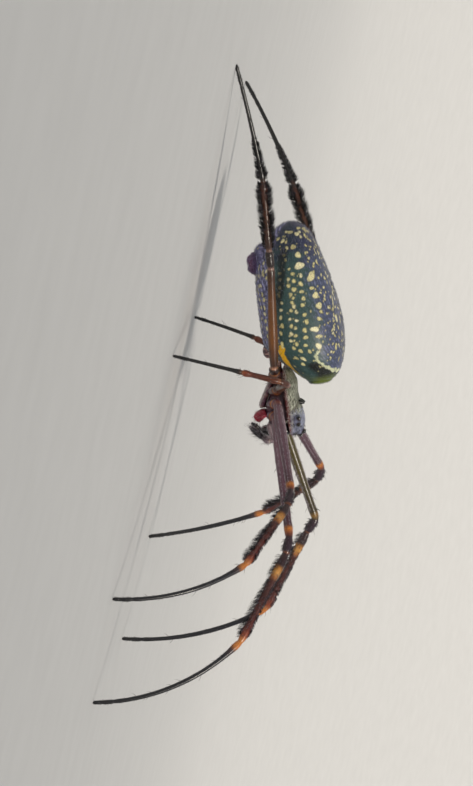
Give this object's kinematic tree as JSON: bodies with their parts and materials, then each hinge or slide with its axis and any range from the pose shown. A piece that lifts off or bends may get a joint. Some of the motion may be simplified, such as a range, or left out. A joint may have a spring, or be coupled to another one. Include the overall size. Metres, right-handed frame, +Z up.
{
  "type": "spider model",
  "caption": "Life-size still model of a female golden silk orb weaver, standing on its leg tips with the front legs reaching forward and the hind legs stretched back.",
  "frame": {"origin": "on the floor, under the middle of the whole spider's bounding box", "axes": "+X the way the spider faces, +Y its left, +Z up"},
  "size_m": [0.0842, 0.0516, 0.0231],
  "materials": {
    "abdomen_cuticle": "satin",
    "carapace_down": "short silvery hair",
    "trunk_cuticle": "gloss",
    "limb_cuticle": "gloss",
    "leg_end_cuticle": "satin",
    "palp_cuticle": "satin",
    "jaw_cuticle": "high gloss",
    "mouthpart_cuticle": "gloss",
    "spinneret_cuticle": "satin",
    "eye_lens": "high gloss",
    "horn_cuticle": "satin"
  },
  "bodies": {
    "root": {"abdomen": "abdomen_cuticle", "cephalothorax": "carapace_down", "pedicel": "trunk_cuticle", "spinnerets": "spinneret_cuticle", "sternum": "trunk_cuticle", "labium": "mouthpart_cuticle", "eyes_median": "eye_lens", "chelicera_right": "jaw_cuticle", "chelicera_left": "jaw_cuticle", "fang_right": "jaw_cuticle", "fang_left": "jaw_cuticle", "maxilla_right": "mouthpart_cuticle", "maxilla_left": "mouthpart_cuticle", "palp_right": "palp_cuticle", "palp_left": "palp_cuticle", "horn_right": "horn_cuticle", "horn_left": "horn_cuticle", "eyes_lateral_right": "eye_lens", "eyes_lateral_left": "eye_lens", "leg1_right_coxa": "trunk_cuticle", "leg1_right_femur": "limb_cuticle", "leg1_right_patella": "limb_cuticle", "leg1_right_tibia": "limb_cuticle", "leg1_right_metatarsus_tarsus": "leg_end_cuticle", "leg2_right_coxa": "trunk_cuticle", "leg2_right_femur": "limb_cuticle", "leg2_right_patella": "limb_cuticle", "leg2_right_tibia": "limb_cuticle", "leg2_right_metatarsus_tarsus": "leg_end_cuticle", "leg3_right_coxa": "trunk_cuticle", "leg3_right_femur": "limb_cuticle", "leg3_right_patella": "limb_cuticle", "leg3_right_tibia": "limb_cuticle", "leg3_right_metatarsus_tarsus": "leg_end_cuticle", "leg4_right_coxa": "trunk_cuticle", "leg4_right_femur": "limb_cuticle", "leg4_right_patella": "limb_cuticle", "leg4_right_tibia": "limb_cuticle", "leg4_right_metatarsus_tarsus": "leg_end_cuticle", "leg1_left_coxa": "trunk_cuticle", "leg1_left_femur": "limb_cuticle", "leg1_left_patella": "limb_cuticle", "leg1_left_tibia": "limb_cuticle", "leg1_left_metatarsus_tarsus": "leg_end_cuticle", "leg2_left_coxa": "trunk_cuticle", "leg2_left_femur": "limb_cuticle", "leg2_left_patella": "limb_cuticle", "leg2_left_tibia": "limb_cuticle", "leg2_left_metatarsus_tarsus": "leg_end_cuticle", "leg3_left_coxa": "trunk_cuticle", "leg3_left_femur": "limb_cuticle", "leg3_left_patella": "limb_cuticle", "leg3_left_tibia": "limb_cuticle", "leg3_left_metatarsus_tarsus": "leg_end_cuticle", "leg4_left_coxa": "trunk_cuticle", "leg4_left_femur": "limb_cuticle", "leg4_left_patella": "limb_cuticle", "leg4_left_tibia": "limb_cuticle", "leg4_left_metatarsus_tarsus": "leg_end_cuticle"}
  },
  "joints": []
}
